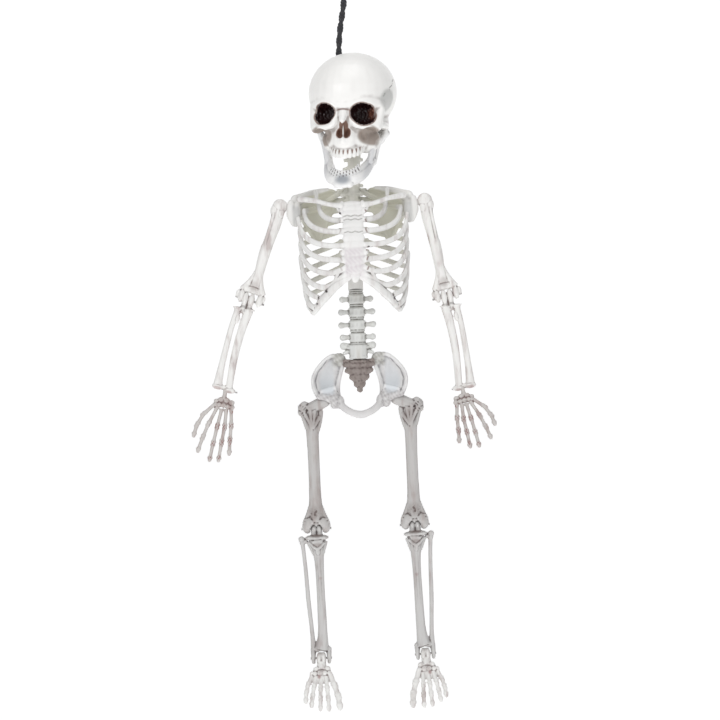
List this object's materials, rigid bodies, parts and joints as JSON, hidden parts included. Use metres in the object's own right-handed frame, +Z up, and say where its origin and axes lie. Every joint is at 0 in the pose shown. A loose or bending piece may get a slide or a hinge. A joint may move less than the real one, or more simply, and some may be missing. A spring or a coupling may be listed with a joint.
{
  "type": "hanging skeleton decoration",
  "caption": "Jointed plastic skeleton figure that hangs from a cord loop, with a turning skull, moving jaw, waist, arms and legs for posing.",
  "frame": {"origin": "inside top of the cord loop, where a hook carries the figure", "axes": "+Z up, the figure faces -Y, +X is the figure's own left side"},
  "size_m": [0.1841, 0.0655, 0.4727],
  "materials": {
    "skull_plastic": "bright warm white, satin, painted dark in the sockets and between the teeth",
    "bone_plastic": "white moulded plastic with a grey-beige wash in the recesses",
    "steel_pin": "plain wire pin",
    "black_cord": "black twisted cord"
  },
  "bodies": {
    "skull": {"skull_face": "skull_plastic", "skull_rear": "skull_plastic", "jaw_pins": "steel_pin", "hanging_cord": "black_cord", "cord_loop": "black_cord", "cord_knot": "black_cord", "cord_stopper_knot": "black_cord"},
    "jaw": {"jaw": "skull_plastic"},
    "torso": {"neck_column": "bone_plastic", "rib_cage_front": "bone_plastic", "rib_cage_rear": "bone_plastic", "rib_cage_pegs": "bone_plastic", "lumbar_spine": "bone_plastic"},
    "pelvis": {"pelvis": "bone_plastic", "sacrum": "bone_plastic"},
    "shoulder_swivel_left": {"shoulder_swivel_left": "bone_plastic"},
    "upper_arm_left": {"upper_arm_left": "bone_plastic", "shoulder_pin_left": "steel_pin", "elbow_pin_left": "steel_pin"},
    "forearm_left": {"forearm_left": "bone_plastic", "wrist_pin_left": "steel_pin"},
    "hand_left": {"hand_left": "bone_plastic"},
    "hip_swivel_left": {"hip_swivel_left": "bone_plastic"},
    "thigh_left": {"thigh_left": "bone_plastic", "hip_pin_left": "steel_pin", "knee_pin_left": "steel_pin"},
    "shin_left": {"shin_left": "bone_plastic", "ankle_pin_left": "steel_pin"},
    "foot_left": {"foot_left": "bone_plastic"},
    "shoulder_swivel_right": {"shoulder_swivel_right": "bone_plastic"},
    "upper_arm_right": {"upper_arm_right": "bone_plastic", "shoulder_pin_right": "steel_pin", "elbow_pin_right": "steel_pin"},
    "forearm_right": {"forearm_right": "bone_plastic", "wrist_pin_right": "steel_pin"},
    "hand_right": {"hand_right": "bone_plastic"},
    "hip_swivel_right": {"hip_swivel_right": "bone_plastic"},
    "thigh_right": {"thigh_right": "bone_plastic", "hip_pin_right": "steel_pin", "knee_pin_right": "steel_pin"},
    "shin_right": {"shin_right": "bone_plastic", "ankle_pin_right": "steel_pin"},
    "foot_right": {"foot_right": "bone_plastic"}
  },
  "joints": [
    {"name": "jaw_hinge", "type": "hinge", "parent": "skull", "child": "jaw", "pos_m": [0.00257, 0.00207, -0.12098], "axis": [0.9773, -0.2079, -0.041], "range_deg": [-8, 11]},
    {"name": "neck_swivel", "type": "hinge", "parent": "skull", "child": "torso", "pos_m": [0.0029, 0.005, -0.128], "axis": [0.0419, 0, 0.9991], "range_deg": [-60, 60]},
    {"name": "waist_swivel", "type": "hinge", "parent": "torso", "child": "pelvis", "pos_m": [0, 0.0075, -0.258], "axis": [0, 0, 1], "range_deg": [-35, 35]},
    {"name": "shoulder_swing_left", "type": "hinge", "parent": "torso", "child": "shoulder_swivel_left", "pos_m": [0.0448, 0.002, -0.1648], "axis": [-1, 0, 0], "range_deg": [-60, 150]},
    {"name": "shoulder_splay_left", "type": "hinge", "parent": "shoulder_swivel_left", "child": "upper_arm_left", "pos_m": [0.0448, 0.002, -0.1648], "axis": [0, -1, 0], "range_deg": [-5, 75]},
    {"name": "elbow_left", "type": "hinge", "parent": "upper_arm_left", "child": "forearm_left", "pos_m": [0.05555, 0.002, -0.22281], "axis": [-0.9833, 0, -0.1822], "range_deg": [0, 100]},
    {"name": "wrist_left", "type": "hinge", "parent": "forearm_left", "child": "hand_left", "pos_m": [0.06254, 0.002, -0.27888], "axis": [-0.9923, 0, -0.1236], "range_deg": [-78, 32]},
    {"name": "hip_swing_left", "type": "hinge", "parent": "pelvis", "child": "hip_swivel_left", "pos_m": [0.0223, 0, -0.2834], "axis": [-1, 0, 0], "range_deg": [-25, 90]},
    {"name": "hip_splay_left", "type": "hinge", "parent": "hip_swivel_left", "child": "thigh_left", "pos_m": [0.0223, 0, -0.2834], "axis": [0, -1, 0], "range_deg": [-5, 26]},
    {"name": "knee_left", "type": "hinge", "parent": "thigh_left", "child": "shin_left", "pos_m": [0.03, 0, -0.361], "axis": [1, 0, 0], "range_deg": [0, 92]},
    {"name": "ankle_left", "type": "hinge", "parent": "shin_left", "child": "foot_left", "pos_m": [0.03331, 0, -0.43993], "axis": [-0.9991, 0, -0.0419], "range_deg": [-30, 60]},
    {"name": "shoulder_swing_right", "type": "hinge", "parent": "torso", "child": "shoulder_swivel_right", "pos_m": [-0.0448, 0.002, -0.1648], "axis": [-1, 0, 0], "range_deg": [-60, 150]},
    {"name": "shoulder_splay_right", "type": "hinge", "parent": "shoulder_swivel_right", "child": "upper_arm_right", "pos_m": [-0.0448, 0.002, -0.1648], "axis": [0, 1, 0], "range_deg": [-12, 75]},
    {"name": "elbow_right", "type": "hinge", "parent": "upper_arm_right", "child": "forearm_right", "pos_m": [-0.06498, 0.002, -0.22024], "axis": [-0.9397, 0, 0.342], "range_deg": [0, 100]},
    {"name": "wrist_right", "type": "hinge", "parent": "forearm_right", "child": "hand_right", "pos_m": [-0.08112, 0.002, -0.27439], "axis": [-0.9583, 0, 0.2857], "range_deg": [-54, 56]},
    {"name": "hip_swing_right", "type": "hinge", "parent": "pelvis", "child": "hip_swivel_right", "pos_m": [-0.0223, 0, -0.2834], "axis": [-1, 0, 0], "range_deg": [-25, 90]},
    {"name": "hip_splay_right", "type": "hinge", "parent": "hip_swivel_right", "child": "thigh_right", "pos_m": [-0.0223, 0, -0.2834], "axis": [0, 1, 0], "range_deg": [-5, 26]},
    {"name": "knee_right", "type": "hinge", "parent": "thigh_right", "child": "shin_right", "pos_m": [-0.03, 0, -0.361], "axis": [1, 0, 0], "range_deg": [0, 92]},
    {"name": "ankle_right", "type": "hinge", "parent": "shin_right", "child": "foot_right", "pos_m": [-0.03028, 0, -0.44], "axis": [-1, 0, 0.0035], "range_deg": [-30, 60]}
  ]
}
